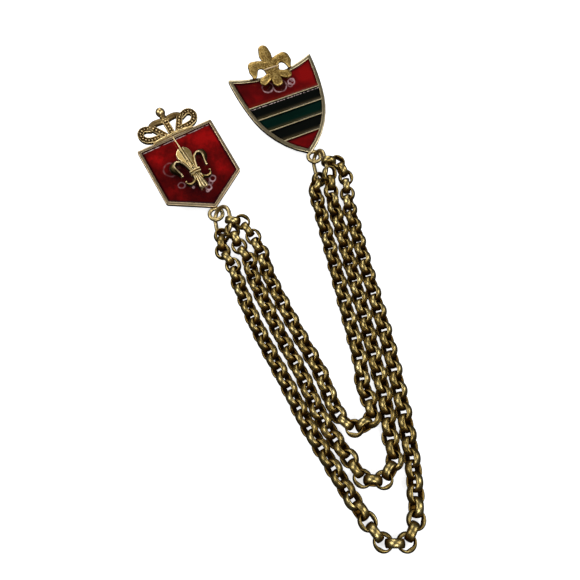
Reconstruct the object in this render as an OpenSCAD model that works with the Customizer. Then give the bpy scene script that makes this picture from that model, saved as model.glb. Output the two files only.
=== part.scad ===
/* [Links] */
// Outer diameter of a chain link
link_d = 4.5; // [4.3:0.05:4.6]
// Width of a link's band
link_band = 1.75; // [1.6:0.05:1.8]
// Thickness of a link's band
link_wall = 0.5; // [0.45:0.01:0.52]
// Number of links in the longest strand
outer_links = 76; // [75:1:77]
// Number of links in the middle strand
middle_links = 64; // [63:1:65]
// Number of links in the shortest strand
inner_links = 55; // [54:1:56]

/* [Crowned shield] */
// Width of the five-sided shield
crowned_w = 23.8; // [22:0.1:25]
// Height from its tip to its top edge
crowned_h = 25.2; // [24:0.1:27]
// Height of its side corners above the tip
crowned_side_h = 7.0; // [6:0.1:8]
// Width of its raised rim
crowned_rim = 0.95; // [0.7:0.05:1.2]

/* [Pointed shield] */
// Width of the pointed shield across its top corners
pointed_w = 27.8; // [26:0.1:29]
// Height from its tip to its top corners
pointed_h = 31.5; // [30:0.1:33]
// Depth of the hollow curve of its top edge
pointed_dip = 2.9; // [2.5:0.1:3.3]
// Width of its raised rim
pointed_rim = 1.15; // [0.9:0.05:1.3]
// Width of a wall between two enamel fields
divider_w = 0.5; // [0.4:0.05:0.7]
// Height of the lowest divider above the tip
divider_first = 6.5; // [6:0.1:7]
// Distance from one divider to the next
divider_step = 4.5; // [4.3:0.1:4.7]

/* [Metal] */
// Thickness of a shield, rim included
shield_t = 1.3; // [1.1:0.1:1.5]
// Thickness of a shield's back plate
plate_t = 0.7; // [0.6:0.05:0.8]
// Depth of the enamel's face below the rim
enamel_drop = 0.3; // [0.2:0.05:0.4]
// Wire diameter of the loops and jump rings
wire_d = 0.9; // [0.8:0.05:0.95]
// Height of a pin finding below the shield's back
pin_drop = 5.95; // [5.8:0.05:6]

/* [Hidden] */
$fn = 48;

gold = "#a8873c";
pale_gold = "#c9ad6a";
red = "#8c0b14";
green = "#06241d";
black = "#0b0d10";

// clearance between pieces that are set into or onto each other
seat_gap = 0.05;
// middle of the brooch's box on the table, measured from the point under the chains' middle
middle_x = -6.86;
middle_y = 6.84;

// resting places: tip of each shield's face, turn on the table and rise of its top edge
tip_height = 3.2;
crowned_tip = [-21.1, 24.8, tip_height];
crowned_turn = 31.2;
crowned_rise = 14.5;
pointed_tip = [6.4, 44.4, tip_height];
pointed_turn = 24.8;
pointed_rise = 13.5;

loop_r = 1.85;
crowned_loop = [-0.9, -1.7];
pointed_loop = [0.5, -1.3];
// how far each loop leans back from its shield's plane towards level
loop_level = 3;

// jump rings: middle, turn of the long side, its rise, tilt about it, end radius, straight side
left_ring_at = [-18.9, 20.1, 3.1];
left_ring_turn = 12;
left_ring_rise = 11;
left_ring_tilt = 48;
left_ring_r = 3.2;
left_ring_side = 1.8;
right_ring_at = [8.9, 39.6, 3.27];
right_ring_turn = 10;
right_ring_rise = 8;
right_ring_tilt = 63;
right_ring_r = 2.9;
right_ring_side = 3.2;

// routes of the strands over the table, from the left jump ring to the right one;
// columns: x, y, height of the links' centres, lean of the even links
outer_route = [
    [-19.1, 15.8, 2.1, 15],
    [-18.9, 12.5, 2.4, 0],
    [-18.3, 10.1, 2.5, 0],
    [-16.4, 8.0, 2.6, -5],
    [-15.2, 5.5, 2.3, -6],
    [-13.6, 0.4, 2.3, -25],
    [-9.7, -9.2, 2.3, -33],
    [-5.2, -18.4, 2.3, -33],
    [-0.4, -27.6, 2.3, -33],
    [4.3, -37.2, 2.3, -33],
    [9.7, -46.3, 2.3, -33],
    [14.1, -53.7, 2.5, -47],
    [17.1, -58.0, 2.3, -74],
    [19.8, -62.1, 2.3, -90],
    [24.7, -62.8, 2.5, -90],
    [27.7, -58.9, 2.2, -102],
    [28.3, -53.6, 2.3, -127],
    [28.4, -46.0, 2.2, -137],
    [27.5, -35.5, 2.3, -146],
    [26.2, -25.2, 2.3, -147],
    [24.6, -14.8, 2.3, -147],
    [22.7, -4.8, 2.3, -147],
    [20.7, 5.2, 2.3, -147],
    [18.8, 15.4, 2.3, -147],
    [17.8, 21.0, 2.3, -150],
    [16.9, 25.5, 2.4, -160],
    [16.7, 29.0, 2.6, -172],
    [16.3, 32.5, 3.0, -185],
    [16.2, 35.5, 3.7, -190],
    [14.4, 38.9, 5.0, -180],
    [11.3, 39.0, 5.7, -170]];
middle_route = [
    [-16.1, 16.6, 3.4, 22],
    [-14.5, 12.9, 3.3, 6],
    [-13.0, 10.3, 3.1, -8],
    [-10.9, 7.5, 3.0, -20],
    [-10.5, 4.3, 2.3, -33],
    [-6.6, -4.9, 2.3, -33],
    [-2.2, -14.5, 2.3, -33],
    [2.7, -24.0, 2.3, -33],
    [6.8, -33.7, 2.2, -44],
    [11.3, -41.3, 2.2, -34],
    [14.8, -46.0, 2.6, -16],
    [17.3, -49.8, 2.4, 8],
    [21.2, -49.5, 2.9, 2],
    [24.3, -45.0, 2.9, 26],
    [23.6, -40.1, 2.6, 26],
    [23.1, -30.4, 2.2, 33],
    [21.2, -20.0, 2.4, 34],
    [19.5, -9.6, 2.3, 33],
    [17.6, 0.4, 2.3, 33],
    [15.7, 10.5, 2.3, 33],
    [13.6, 21.0, 2.3, 33],
    [12.7, 25.1, 2.2, 48],
    [11.7, 31.3, 3.6, 61],
    [11.4, 34.8, 5.5, 61]];
inner_route = [
    [-15.9, 19.0, 5.0, 65],
    [-13.0, 18.5, 4.9, 78],
    [-11.4, 15.8, 3.9, 82],
    [-9.4, 13.8, 3.4, 80],
    [-8.6, 11.3, 2.6, 68],
    [-6.9, 8.5, 2.5, 70],
    [-6.1, 4.0, 2.3, 57],
    [-1.6, -5.8, 2.3, 57],
    [2.9, -15.0, 2.3, 57],
    [7.5, -24.1, 2.7, 58],
    [10.9, -33.2, 2.1, 54],
    [14.1, -37.4, 2.8, 84],
    [18.1, -37.5, 3.7, 114],
    [20.0, -33.1, 2.7, 106],
    [17.8, -27.7, 2.1, 126],
    [17.9, -23.0, 2.3, 118],
    [16.5, -15.3, 2.3, 123],
    [14.5, -5.2, 2.3, 123],
    [12.5, 4.9, 2.3, 123],
    [10.5, 15.0, 2.3, 123],
    [8.9, 23.0, 2.3, 123],
    [8.0, 27.4, 2.3, 115],
    [6.9, 31.6, 2.8, 132],
    [8.5, 35.0, 2.4, 135]];

// outlines

function unit(v) = v / norm(v);
function inward(a, b) = let (d = unit(b - a)) [-d[1], d[0]];

// an outline drawn inwards by a distance; its points run anticlockwise
function inset(points, by) = [
    for (k = [0:len(points) - 1])
    let (before = inward(points[(k + len(points) - 1) % len(points)], points[k]))
    let (after = inward(points[k], points[(k + 1) % len(points)]))
    points[k] + by * (before + after) / (1 + before * after)];

function arc(centre, radius, from, to, steps) = [
    for (k = [0:steps])
    let (angle = from + (to - from) * k / steps)
    centre + radius * [cos(angle), sin(angle)]];

function mirrored(points) = [for (k = [len(points) - 1:-1:0]) [-points[k][0], points[k][1]]];

crowned_outline = [
    [0, 0], [crowned_w / 2, crowned_side_h], [crowned_w / 2, crowned_h],
    [-crowned_w / 2, crowned_h], [-crowned_w / 2, crowned_side_h]];

// each side of the pointed shield is one arc with a flatter arc above it, which share a tangent
side_lower_r = 27;
side_upper_r = 70;
side_lower_centre = [-14.2, 22.96];
side_lower_end = -13;
side_upper_centre = side_lower_centre
    + (side_lower_r - side_upper_r) * [cos(side_lower_end), sin(side_lower_end)];
side_lower_start = asin(-side_lower_centre[1] / side_lower_r);
side_upper_end = asin((pointed_h - side_upper_centre[1]) / side_upper_r);
pointed_right_side = concat(
    arc(side_lower_centre, side_lower_r, side_lower_start, side_lower_end, 14),
    [for (p = arc(side_upper_centre, side_upper_r, side_lower_end, side_upper_end, 6)) if (p[1] > 18) p]);
pointed_corner = pointed_right_side[len(pointed_right_side) - 1];
dip_r = (pow(pointed_corner[0], 2) + pow(pointed_dip, 2)) / (2 * pointed_dip);
dip_half = asin(pointed_corner[0] / dip_r);
dip_centre = [0, pointed_h - pointed_dip + dip_r];
dip_points = arc(dip_centre, dip_r, -90 + dip_half, -90 - dip_half, 12);
pointed_outline = concat(
    [[0, 0]],
    [for (k = [1:len(pointed_right_side) - 1]) pointed_right_side[k]],
    [for (k = [1:len(dip_points) - 2]) dip_points[k]],
    mirrored([for (k = [1:len(pointed_right_side) - 1]) pointed_right_side[k]]));

// placing

module on_table() {
    translate([-middle_x, -middle_y, 0]) children();
}

module on_shield(tip, turn, rise) {
    on_table() translate(tip) rotate([0, 0, turn]) rotate([rise, 0, 0]) children();
}

module on_crowned() {
    on_shield(crowned_tip, crowned_turn, crowned_rise) children();
}

module on_pointed() {
    on_shield(pointed_tip, pointed_turn, pointed_rise) children();
}

// shield parts; x runs across, y up from the tip, z = 0 is the rim's face

module slab(points, low, high) {
    translate([0, 0, low]) linear_extrude(high - low) polygon(points);
}

module shield_shell(outline, rim) {
    slab(outline, -shield_t, plate_t - shield_t);
    difference() {
        slab(outline, plate_t - shield_t, 0);
        slab(inset(outline, rim), plate_t - shield_t - 1, 1);
    }
}

module hanging_loop(at, rise) {
    translate([at[0], at[1], -shield_t / 2])
    rotate([loop_level - rise, 0, 0])
    rotate_extrude() translate([loop_r, 0]) circle(d = wire_d, $fn = 24);
}

module arc_tube(at, r, from, to, tube_r) {
    translate(at)
    rotate([0, 0, from])
    rotate_extrude(angle = to - from) translate([r, 0]) circle(r = tube_r, $fn = tube_facets);
}

module arc_wall(at, r, from, to, wall, low, high) {
    translate([at[0], at[1], low])
    rotate([0, 0, from])
    rotate_extrude(angle = to - from) translate([r - wall / 2, 0]) square([wall, high - low]);
}

// crown: a base band, two round side loops, two inner arches, beaded ribs and a ball on a neck;
// places are measured from the middle of the shield's top edge
crown_x = -0.25;
crown_z = -0.45;
crown_band_w = 12.4;
crown_band_h = 1.3;
crown_band_t = 1.45;
crown_sink = 0.2;
crown_tube_r = 0.85;
crown_loop_at = [6.65, 3.2];
crown_loop_r = 2.1;
crown_arch_at = [2.5, 3.75];
crown_arch_r = 2.25;
crown_arch_from = 12;
crown_rib_w = 1.9;
crown_rib_t = 1.3;
crown_rib_foot = [1.4, 0.9];
crown_rib_head = [4.7, 5.6];
crown_neck_r = 0.88;
crown_neck_y = 5.4;
crown_ball_y = 8.3;
crown_ball_r = 1.25;
bead_r = 0.3;
bead_step = 1.1;
bead_turn = 25;
bead_lift = 0.8;
bead_facets = 14;
tube_facets = 16;

module rib(from, to) {
    run = to - from;
    translate([from[0], from[1], crown_z - 0.5])
    rotate([0, 0, atan2(run[1], run[0])])
    translate([0, -crown_rib_w / 2, 0])
    cube([norm(run), crown_rib_w, crown_rib_t]);
    for (k = [0:floor(norm(run) / bead_step) - 1])
    translate(concat(from + unit(run) * bead_step * (k + 0.6), [crown_z + bead_lift]))
    sphere(r = bead_r, $fn = bead_facets);
}

module crown() {
    translate([crown_x, crowned_h, 0]) {
        translate([-crown_band_w / 2, -crown_sink, crown_z - 0.6])
        cube([crown_band_w, crown_band_h + crown_sink, crown_band_t]);
        for (side = [-1, 1]) {
            translate([side * crown_loop_at[0], crown_loop_at[1], crown_z])
            rotate_extrude() translate([crown_loop_r, 0]) circle(r = crown_tube_r, $fn = tube_facets);
            arc_tube([side * crown_arch_at[0], crown_arch_at[1], crown_z], crown_arch_r,
                     crown_arch_from, 180 - crown_arch_from, crown_tube_r);
            rib([side * crown_rib_foot[0], crown_rib_foot[1]], [side * crown_rib_head[0], crown_rib_head[1]]);
            for (angle = [-130:bead_turn:120])
            translate([side * crown_loop_at[0], crown_loop_at[1], crown_z + crown_tube_r])
            rotate([0, 0, side < 0 ? 180 - angle : angle])
            translate([crown_loop_r, 0, 0])
            sphere(r = bead_r, $fn = bead_facets);
        }
        rib([0, crown_rib_foot[1]], [0, crown_arch_at[1] + crown_arch_r]);
        translate([0, crown_neck_y, crown_z + 0.3])
        rotate([-90, 0, 0]) cylinder(r = crown_neck_r, h = crown_ball_y - crown_neck_y, $fn = 24);
        translate([0, crown_ball_y, crown_z + 0.3]) sphere(r = crown_ball_r, $fn = 32);
    }
}

module crowned_frame() {
    color(pale_gold)
    on_crowned() {
        shield_shell(crowned_outline, crowned_rim);
        hanging_loop(crowned_loop, crowned_rise);
        crown();
    }
}

module crowned_enamel() {
    color(red)
    on_crowned()
    slab(inset(crowned_outline, crowned_rim + seat_gap), plate_t - shield_t + seat_gap, -enamel_drop);
}

// raised fleur-de-lis of the crowned shield; it leans a little about a point near its foot
fleur_base = seat_gap - enamel_drop;
fleur_top = 1.7;
fleur_lean = 3;
fleur_pivot = [0, 8, 0];
collar_y = 11.2;
collar_w = 3.2;
collar_h = 1.35;
petal_from = collar_y + collar_h - 0.1;
rod_d = 0.5;
rod_z = 0.9;
rod_start = 0.5;
petal_side = [[0.8, 0], [2.3, 5.4], [1.7, 7.0]];
petal_tip = 7.8;
foot_side = [[0.7, 11.3], [1.35, 7.1]];
foot_tip = 6.4;
// walls of the right half; columns: centre x, centre y, radius, from, to, wall, top
curl_walls = [
    [-0.9, 15.7, 3.2, -75, 18, 0.6, fleur_top],
    [3.15, 15.7, 1.15, 0, 150, 0.6, fleur_top],
    [-4.7, 15.7, 9, -17, 1, 0.54, fleur_top - 0.04],
    [3.2, 15.3, 2.0, -15, 115, 1.1, 1.0],
    [2.4, 10.6, 1.5, -175, -12, 0.6, fleur_top - 0.4]];

module relief(outline, ridge, high) {
    hull() {
        slab(outline, fleur_base, fleur_base + 0.5);
        slab(ridge, fleur_base, high);
    }
}

module crowned_fleur() {
    color(gold)
    on_crowned()
    translate(fleur_pivot) rotate([0, 0, fleur_lean]) translate(-fleur_pivot) {
        relief(concat([for (p = petal_side) [p[0], petal_from + p[1]]], [[0, petal_from + petal_tip]],
                      mirrored([for (p = petal_side) [p[0], petal_from + p[1]]])),
               [[-0.25, petal_from], [0.25, petal_from], [0.4, petal_from + 6], [-0.4, petal_from + 6]],
               fleur_top - 0.3);
        relief(concat([[0, foot_tip], foot_side[1], foot_side[0]], mirrored([foot_side[1], foot_side[0]])),
               [[-0.3, 7.6], [0.3, 7.6], [0.2, collar_y], [-0.2, collar_y]], fleur_top - 0.4);
        translate([-collar_w / 2, collar_y, fleur_base]) cube([collar_w, collar_h, fleur_top - fleur_base]);
        for (side = [-1, 1]) scale([side, 1, 1])
        for (row = curl_walls)
        arc_wall([row[0], row[1]], row[2], row[3], row[4], row[5], fleur_base, row[6]);
        translate([0, crowned_h - crowned_rim - seat_gap, rod_z])
        rotate([90, 0, 0])
        cylinder(d = rod_d, h = crowned_h - crowned_rim - seat_gap - petal_from - rod_start, $fn = 24);
    }
}

// bar pin on a shield's back: base strip, hinge, stem and catch in one
pin_len = 17;
pin_strip_w = 3;
pin_strip_t = 0.5;
pin_wall = 1.1;
pin_barrel_r = 1.2;
pin_stem_d = 0.8;

module bar_pin(y) {
    top = -shield_t - seat_gap;
    axis_z = -shield_t - pin_drop + pin_barrel_r;
    translate([-pin_len / 2, y - pin_strip_w / 2, top - pin_strip_t])
    cube([pin_len, pin_strip_w, pin_strip_t]);
    for (side = [-1, 1])
    translate([side * (pin_len / 2 - pin_barrel_r), y, 0]) {
        translate([-pin_wall / 2, -pin_strip_w / 2, axis_z])
        cube([pin_wall, pin_strip_w, top - axis_z]);
        translate([0, -pin_strip_w / 2, axis_z])
        rotate([-90, 0, 0]) cylinder(r = pin_barrel_r, h = pin_strip_w);
    }
    translate([-pin_len / 2 + pin_barrel_r, y, axis_z])
    rotate([0, 90, 0]) cylinder(d = pin_stem_d, h = pin_len - 2 * pin_barrel_r);
}

// places of the pins above the tips, where each finding just reaches the table
function pin_y(rise) = (shield_t + pin_drop - tip_height / cos(rise)) / tan(rise) + pin_strip_w / 2;

module crowned_pin() {
    color(pale_gold) on_crowned() bar_pin(pin_y(crowned_rise));
}

module pointed_pin() {
    color(pale_gold) on_pointed() bar_pin(pin_y(pointed_rise));
}

divider_ys = [for (k = [0:3]) divider_first + divider_step * k];

module pointed_frame() {
    color(pale_gold)
    on_pointed() {
        shield_shell(pointed_outline, pointed_rim);
        for (y = divider_ys)
        translate([0, 0, plate_t - shield_t])
        linear_extrude(shield_t - plate_t)
        intersection() {
            polygon(inset(pointed_outline, pointed_rim / 2));
            translate([-pointed_w / 2, y - divider_w / 2]) square([pointed_w, divider_w]);
        }
        hanging_loop(pointed_loop, pointed_rise);
    }
}

module enamel_field(from, to) {
    on_pointed()
    translate([0, 0, plate_t - shield_t + seat_gap])
    linear_extrude(shield_t - plate_t - seat_gap - enamel_drop)
    intersection() {
        polygon(inset(pointed_outline, pointed_rim + seat_gap));
        translate([-pointed_w / 2, from]) square([pointed_w, to - from]);
    }
}

// half of a divider and the gap beside it
beside = divider_w / 2 + seat_gap;

module red_chief_enamel() {
    color(red) enamel_field(divider_ys[3] + beside, pointed_h);
}

module upper_black_enamel() {
    color(black) enamel_field(divider_ys[2] + beside, divider_ys[3] - beside);
}

module green_enamel() {
    color(green) enamel_field(divider_ys[1] + beside, divider_ys[2] - beside);
}

module lower_black_enamel() {
    color(black) enamel_field(divider_ys[0] + beside, divider_ys[1] - beside);
}

module red_tip_enamel() {
    color(red) enamel_field(0, divider_ys[0] - beside);
}

// flat fleur-de-lis on two short posts over the top edge of the pointed shield
plate_fleur_low = 0.95;
plate_fleur_t = 0.8;
plate_fleur_x = -0.15;
plate_body = [4.7, 3.7];
plate_body_y = 27.0;
rim_post_y = 28.05;
rim_post_r = 0.45;
field_post_y = 25.4;
field_post_r = 0.8;
// round bars of the middle and of the right half; columns: x, y, end x, end y, width, end width
middle_bars = [
    [0, 31.2, 0, 34.6, 3.1, 3.9],
    [0, 34.6, 0, 36.5, 4.0, 3.2],
    [0, 27.6, 0, 24.75, 2.8, 3.4]];
right_bars = [
    [0.9, 31.4, 3.6, 32.0, 2.4, 2.7],
    [3.6, 32.0, 5.6, 32.0, 2.8, 3.1],
    [5.6, 32.0, 5.95, 30.5, 3.2, 2.3],
    [5.95, 30.5, 5.6, 28.95, 2.35, 1.5],
    [1.4, 27.5, 3.95, 26.15, 2.4, 2.9]];
bar_end_steps = 16;

// a bar with round ends of two sizes
module round_bar(from, to, d1, d2) {
    run = to - from;
    turn = atan2(run[1], run[0]);
    reach = 90 - asin((d1 - d2) / 2 / norm(run));
    polygon(concat(
        arc(from, d1 / 2, turn + reach, turn + 360 - reach, bar_end_steps),
        arc(to, d2 / 2, turn - reach, turn + reach, bar_end_steps)));
}

module row_bar(row) {
    round_bar([row[0], row[1]], [row[2], row[3]], row[4], row[5]);
}

module fleur_outline() {
    translate([-plate_body[0] / 2, plate_body_y]) square(plate_body);
    for (row = middle_bars) row_bar(row);
    for (row = right_bars) {
        row_bar(row);
        scale([-1, 1]) row_bar(row);
    }
}

module pointed_fleur() {
    color(gold)
    on_pointed()
    translate([plate_fleur_x, 0, 0]) {
        translate([0, 0, plate_fleur_low]) linear_extrude(plate_fleur_t) fleur_outline();
        translate([0, rim_post_y, seat_gap]) cylinder(r = rim_post_r, h = plate_fleur_low);
        translate([0, field_post_y, seat_gap - enamel_drop])
        cylinder(r = field_post_r, h = plate_fleur_low + enamel_drop);
    }
}

// jump rings: two half rounds joined by straight sides
module jump_ring(at, turn, rise, tilt, end_r, straight) {
    color(gold)
    on_table()
    translate(at)
    rotate([0, 0, turn])
    rotate([rise, 0, 0])
    rotate([0, -tilt, 0])
    for (side = [-1, 1]) {
        translate([0, side * straight / 2, 0])
        rotate([0, 0, side > 0 ? 0 : 180])
        rotate_extrude(angle = 180) translate([end_r, 0]) circle(d = wire_d, $fn = 24);
        translate([side * end_r, -straight / 2, 0])
        rotate([-90, 0, 0]) cylinder(d = wire_d, h = straight, $fn = 24);
    }
}

module left_jump_ring() {
    jump_ring(left_ring_at, left_ring_turn, left_ring_rise, left_ring_tilt, left_ring_r, left_ring_side);
}

module right_jump_ring() {
    jump_ring(right_ring_at, right_ring_turn, right_ring_rise, right_ring_tilt, right_ring_r, right_ring_side);
}

// strands

// a point on a smooth curve through the rows of a route; t counts rows
function along(rows, t) =
    let (k = min(floor(t), len(rows) - 2))
    let (f = t - k)
    let (a = rows[max(k - 1, 0)])
    let (b = rows[k])
    let (c = rows[k + 1])
    let (d = rows[min(k + 2, len(rows) - 1)])
    b + f * ((c - a) / 2 + f * (a - 2.5 * b + 2 * c - d / 2 + f * (1.5 * b - 1.5 * c + (d - a) / 2)));

function place_of(row) = [row[0], row[1], row[2]];

// distance run along a route against t
route_steps = 24;
function run_table(rows) =
    let (last = (len(rows) - 1) * route_steps)
    let (places = [for (k = [0:last]) place_of(along(rows, k / route_steps))])
    [for (k = 0, run = 0; k <= last; run = run + (k < last ? norm(places[k + 1] - places[k]) : 0), k = k + 1)
        [run, k / route_steps]];

function strand_rows(rows, count) =
    let (table = run_table(rows))
    let (total = table[len(table) - 1][0])
    [for (k = [0:count - 1]) along(rows, lookup(total * k / (count - 1), table))];

module link() {
    inner = link_d / 2 - link_wall;
    outer = link_d / 2;
    half = link_band / 2;
    rotate_extrude()
    polygon([[inner, -half * 0.85], [outer - 0.18, -half], [outer, -half * 0.6],
        [outer, half * 0.6], [outer - 0.18, half], [inner, half * 0.85]]);
}

// even links lean as the route says, odd ones stand square to them; a link on edge is pulled
// towards the line between its neighbours, so that a strand bends most at the links that lie flat
edge_pull = 0.7;

module strand(rows, count) {
    links = strand_rows(rows, count);
    color(gold)
    on_table()
    for (k = [0:count - 1]) {
        before = place_of(links[max(k - 1, 0)]);
        after = place_of(links[min(k + 1, count - 1)]);
        lean = links[k][3] + (k % 2) * 90;
        on_edge = k == 0 || k == count - 1 ? 0 : edge_pull * pow(sin(lean), 2);
        at = place_of(links[k]) * (1 - on_edge) + (before + after) / 2 * on_edge;
        ahead = unit(after - before);
        side = unit(cross([0, 0, 1], ahead));
        axis = cos(lean) * cross(ahead, side) + sin(lean) * side;
        across = cross(axis, ahead);
        multmatrix([
            [ahead[0], across[0], axis[0], at[0]],
            [ahead[1], across[1], axis[1], at[1]],
            [ahead[2], across[2], axis[2], at[2]],
            [0, 0, 0, 1]])
        link();
    }
}

module outer_chain() {
    strand(outer_route, outer_links);
}

module middle_chain() {
    strand(middle_route, middle_links);
}

module inner_chain() {
    strand(inner_route, inner_links);
}

crowned_frame();
crowned_enamel();
crowned_fleur();
crowned_pin();
pointed_frame();
red_chief_enamel();
upper_black_enamel();
green_enamel();
lower_black_enamel();
red_tip_enamel();
pointed_fleur();
pointed_pin();
left_jump_ring();
right_jump_ring();
outer_chain();
middle_chain();
inner_chain();
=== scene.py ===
import math
import bmesh
import bpy
import numpy as np
from mathutils import Matrix, Vector


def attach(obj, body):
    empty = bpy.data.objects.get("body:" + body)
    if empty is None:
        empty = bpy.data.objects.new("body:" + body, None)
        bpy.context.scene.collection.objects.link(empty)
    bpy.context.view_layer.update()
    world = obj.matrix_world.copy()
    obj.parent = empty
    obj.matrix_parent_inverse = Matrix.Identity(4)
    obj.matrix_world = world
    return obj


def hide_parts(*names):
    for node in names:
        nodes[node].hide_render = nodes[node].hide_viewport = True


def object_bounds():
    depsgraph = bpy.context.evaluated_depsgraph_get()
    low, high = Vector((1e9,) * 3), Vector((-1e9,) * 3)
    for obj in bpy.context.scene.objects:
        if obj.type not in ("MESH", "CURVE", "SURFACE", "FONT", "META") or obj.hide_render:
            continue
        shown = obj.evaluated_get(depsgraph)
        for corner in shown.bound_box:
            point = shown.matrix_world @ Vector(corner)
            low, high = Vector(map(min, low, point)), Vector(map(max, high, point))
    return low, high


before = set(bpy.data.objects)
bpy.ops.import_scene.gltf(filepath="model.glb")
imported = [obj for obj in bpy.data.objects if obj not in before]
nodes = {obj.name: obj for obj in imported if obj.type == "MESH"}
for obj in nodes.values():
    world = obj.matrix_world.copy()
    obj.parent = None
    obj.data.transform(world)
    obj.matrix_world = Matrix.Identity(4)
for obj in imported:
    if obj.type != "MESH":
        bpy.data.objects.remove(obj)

cad_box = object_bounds()

# lengths are in millimetres up to the last step of each piece, as in the CAD source
MM = 0.001

# the point of the CAD layout that is the frame's origin
MIDDLE = Vector((-6.86, 6.84, 0.0))

# shields: heights are counted from the rim's top; enamel reaches into the metal around it by the seat
TIP_HEIGHT = 3.2
SHIELD_T = 1.3
PLATE_T = 0.7
PLATE_TOP = PLATE_T - SHIELD_T
ENAMEL_DROP = 0.3
SEAT = 0.02
LEAST_CORNER_R = 0.06
CROWNED_RISE = 14.5
POINTED_RISE = 13.5

# hanging loops and jump rings
LOOP_R = 1.85
LOOP_WIRE_R = 0.58
LOOP_LEVEL = 3.0
RING_WIRE_R = 0.57
WIRE_SIDES = 20

# links: the flank is how much thicker their flanks are, and where a strand is straight they are turned about
# it by the roll and stretched along it
LINK_R = 2.25
LINK_WALL = 0.56
LINK_HALF = 0.98
LINK_FLANK = 0.45
LINK_ROLL = -12.0
LINK_STRETCH = 0.05
LINK_SIDES = 40
# share of a strand's direction along Y where it counts as bent and as straight
STRAND_BENT, STRAND_STRAIGHT = 0.48, 0.88
# distances within which links follow each other and touch, and painted shade on metal inside another link
LINK_NEXT = 4.0
LINK_TOUCH = 3.4
INSIDE_DEPTH = 0.8
INSIDE_SHADE = 0.75
# a direction that no link's axis has, and how near the CAD mesh's points are joined, in metres
OFF_AXIS = (0.31, 0.17, 0.94)
WELD = 2e-6


def laid(at, turn, rise):
    """Turned and raised about a point of the layout, and taken to metres."""
    return (Matrix.Scale(MM, 4)
            @ Matrix.Translation(Vector(at) - MIDDLE)
            @ Matrix.Rotation(math.radians(turn), 4, "Z")
            @ Matrix.Rotation(math.radians(rise), 4, "X"))


CROWNED = laid((-21.1, 24.8, TIP_HEIGHT), 31.2, CROWNED_RISE)
POINTED = laid((6.4, 44.4, TIP_HEIGHT), 24.8, POINTED_RISE)


# camera and stage, in metres

CAMERA_FROM_TARGET = Vector((0.0, -0.06615, 0.13563))
CAMERA_ANGLE = math.radians(55.0)
# columns: name, place, side, power
LIGHTS = [("window", (-0.14, 0.5, 0.46), 0.34, 1.6), ("near_camera", (0.1, -0.42, 0.5), 0.24, 1.7),
          ("left_side", (-0.44, -0.02, 0.5), 0.3, 1.6), ("right_side", (0.44, 0.04, 0.48), 0.3, 1.6)]
FLOOR_HALF = 1.5
FLOOR_GAP = 0.00002


def aim(thing, target):
    thing.rotation_mode = "QUATERNION"
    way = Vector(target) - thing.location
    thing.rotation_quaternion = way.to_track_quat("-Z", "Y")


def add_camera():
    data = bpy.data.cameras.new("camera")
    camera = bpy.data.objects.new("camera", data)
    bpy.context.scene.collection.objects.link(camera)
    bpy.context.scene.camera = camera
    target = -MIDDLE * MM
    camera.location = target + CAMERA_FROM_TARGET
    aim(camera, target)
    data.sensor_fit = "HORIZONTAL"
    data.angle = CAMERA_ANGLE
    data.clip_start = 0.005
    data.clip_end = 20.0


def add_light(name, place, side, power):
    data = bpy.data.lights.new(name, "AREA")
    data.size = side
    data.energy = power
    light = bpy.data.objects.new(name, data)
    light.location = place
    aim(light, (0.0, 0.0, 0.0))
    bpy.context.scene.collection.objects.link(light)


def add_world():
    world = bpy.data.worlds.new("studio")
    bpy.context.scene.world = world
    world.use_nodes = True
    background = world.node_tree.nodes["Background"]
    background.inputs["Color"].default_value = (0.93, 0.95, 1.0, 1.0)
    background.inputs["Strength"].default_value = 0.04


def add_floor():
    """A plain white surface just under the brooch, which its metal doesn't mirror."""
    half = FLOOR_HALF
    corners = [(-half, -half, 0), (half, -half, 0), (half, half, 0), (-half, half, 0)]
    mesh = bpy.data.meshes.new("floor")
    mesh.from_pydata(corners, [], [(0, 1, 2, 3)])
    floor = bpy.data.objects.new("floor", mesh)
    floor.location.z = cad_box[0].z - FLOOR_GAP
    bpy.context.scene.collection.objects.link(floor)
    tree = Tree("floor_white")
    tree.set(Base_Color=(0.7, 0.7, 0.7, 1.0), Roughness=0.9, Specular_IOR_Level=0.1,
             Emission_Color=(1.0, 1.0, 1.0, 1.0), Emission_Strength=0.75)
    mesh.materials.append(tree.material)
    floor.visible_glossy = False


def add_stage():
    add_world()
    for row in LIGHTS:
        add_light(*row)
    add_floor()
    bpy.context.scene.view_settings.view_transform = "Standard"
    bpy.context.scene.view_settings.look = "None"


# materials

# share of a link's own tone in its stain
TONE_SHARE = 0.16
MIRROR_COLOUR = (0.58, 0.37, 0.39)
SHADOW_COLOUR = (0.012, 0.004, 0.003)
GLINT_COLOUR = (0.52, 0.40, 0.37)
# heights between which the scallops' line fades, and its strength at each
SCALLOP_FADE = (24.0, 24.8)
SCALLOP_STRENGTH = (0.85, 0.2)
# relief in metres
GOLD_RELIEF, ENAMEL_RELIEF = 0.00006, 0.00005


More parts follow.
